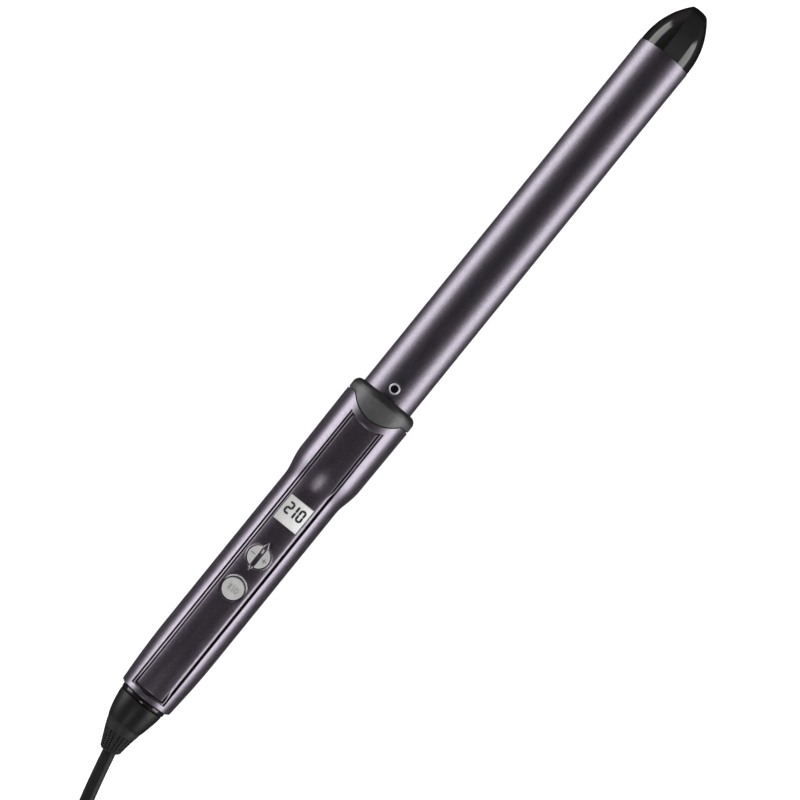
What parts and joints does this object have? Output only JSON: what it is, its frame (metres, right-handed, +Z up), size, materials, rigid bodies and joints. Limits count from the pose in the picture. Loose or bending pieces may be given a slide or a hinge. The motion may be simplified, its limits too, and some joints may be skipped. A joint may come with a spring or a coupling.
{
  "type": "curling iron",
  "caption": "Round-barrel curling iron without a clip: satin barrel, cool tip, oval handle with inlaid display and keys, swivel mains lead tied in a hank with a flat two-pin plug.",
  "frame": {"origin": "under the middle of the iron, without its lead, on the surface that it lies on", "axes": "+X along the barrel towards the cool tip, +Z up out of the control panel, +Y to the side of the minus key"},
  "size_m": [0.6199, 0.054, 0.0377],
  "materials": {
    "lilac_paint": "satin metallic lilac-grey lacquer with fine flake",
    "lilac_plastic": "satin metallic lacquer over moulded plastic",
    "dark_rubbery": "matte dark grey heat-proof plastic",
    "black_gloss": "glossy black plastic",
    "black_soft": "satin black flexible PVC",
    "black_plastic": "black moulded plastic",
    "button_grey": "light grey satin plastic",
    "window_clear": "clear acrylic",
    "display_grey": "silver-grey liquid crystal glass",
    "aluminium": "extruded",
    "steel": "zinc plated",
    "spring_bronze": "phosphor bronze",
    "nickel": "nickel-plated brass",
    "brass": "turned",
    "ceramic": "heating ceramic in film",
    "white_plastic": "heat-proof moulded plastic",
    "board_green": "glass-epoxy laminate",
    "chip_black": "moulded epoxy",
    "film_yellow": "moulded case",
    "fuse_glass": "glass tube",
    "lead_insulation": "glass-braid and silicone insulation",
    "conductive_rubber": "striped elastomer",
    "tie_black": "hook-and-loop tape"
  },
  "bodies": {
    "cord_set": {"swivel_core": "black_plastic", "slip_rings": "brass", "swivel_ring": "black_gloss", "cord_boot": "black_soft", "cord_lead": "black_soft", "cord_hank": "black_soft", "cord_tail": "black_soft", "cord_tie": "tie_black", "plug_body": "black_soft", "plug_bridge": "black_plastic", "plug_pins": "nickel", "plug_sleeves": "black_plastic"},
    "iron": {"barrel_tube": "lilac_paint", "barrel_eyelet": "steel", "cool_tip": "black_gloss", "barrel_socket": "white_plastic", "heat_spreader_upper": "aluminium", "heat_spreader_lower": "aluminium", "heater_element": "ceramic", "spreader_spring": "steel", "temperature_sensor": "steel", "heater_leads": "lead_insulation", "sensor_lead": "lead_insulation", "nose_collar": "dark_rubbery", "handle_top_shell": "lilac_plastic", "handle_bottom_shell": "lilac_plastic", "shell_screws": "steel", "control_panel": "lilac_plastic", "panel_trim": "lilac_plastic", "display_window": "window_clear", "display_module": "display_grey", "display_holder": "white_plastic", "display_contacts": "conductive_rubber", "circuit_board": "board_green", "board_screws": "steel", "tact_switches": "chip_black", "microcontroller": "chip_black", "triac": "chip_black", "film_capacitor": "film_yellow", "fuse": "fuse_glass", "mains_leads": "lead_insulation", "swivel_housing": "white_plastic", "contact_springs": "spring_bronze"},
    "power_button": {"power_button": "button_grey"},
    "minus_key": {"minus_key": "button_grey"},
    "plus_key": {"plus_key": "button_grey"}
  },
  "joints": [
    {"name": "cord_swivel", "type": "hinge", "parent": "cord_set", "child": "iron", "pos_m": [-0.1755, 0, 0.0156], "axis": [1, 0, 0], "continuous": true},
    {"name": "power_press", "type": "slide", "parent": "iron", "child": "power_button", "axis": [0, 0, -1], "range_m": [0, 0.0006], "stiffness_N_per_m": 1500, "springref_m": -0.0005},
    {"name": "minus_press", "type": "slide", "parent": "iron", "child": "minus_key", "axis": [0, 0, -1], "range_m": [0, 0.0006], "stiffness_N_per_m": 1500, "springref_m": -0.0005},
    {"name": "plus_press", "type": "slide", "parent": "iron", "child": "plus_key", "axis": [0, 0, -1], "range_m": [0, 0.0006], "stiffness_N_per_m": 1500, "springref_m": -0.0005}
  ]
}
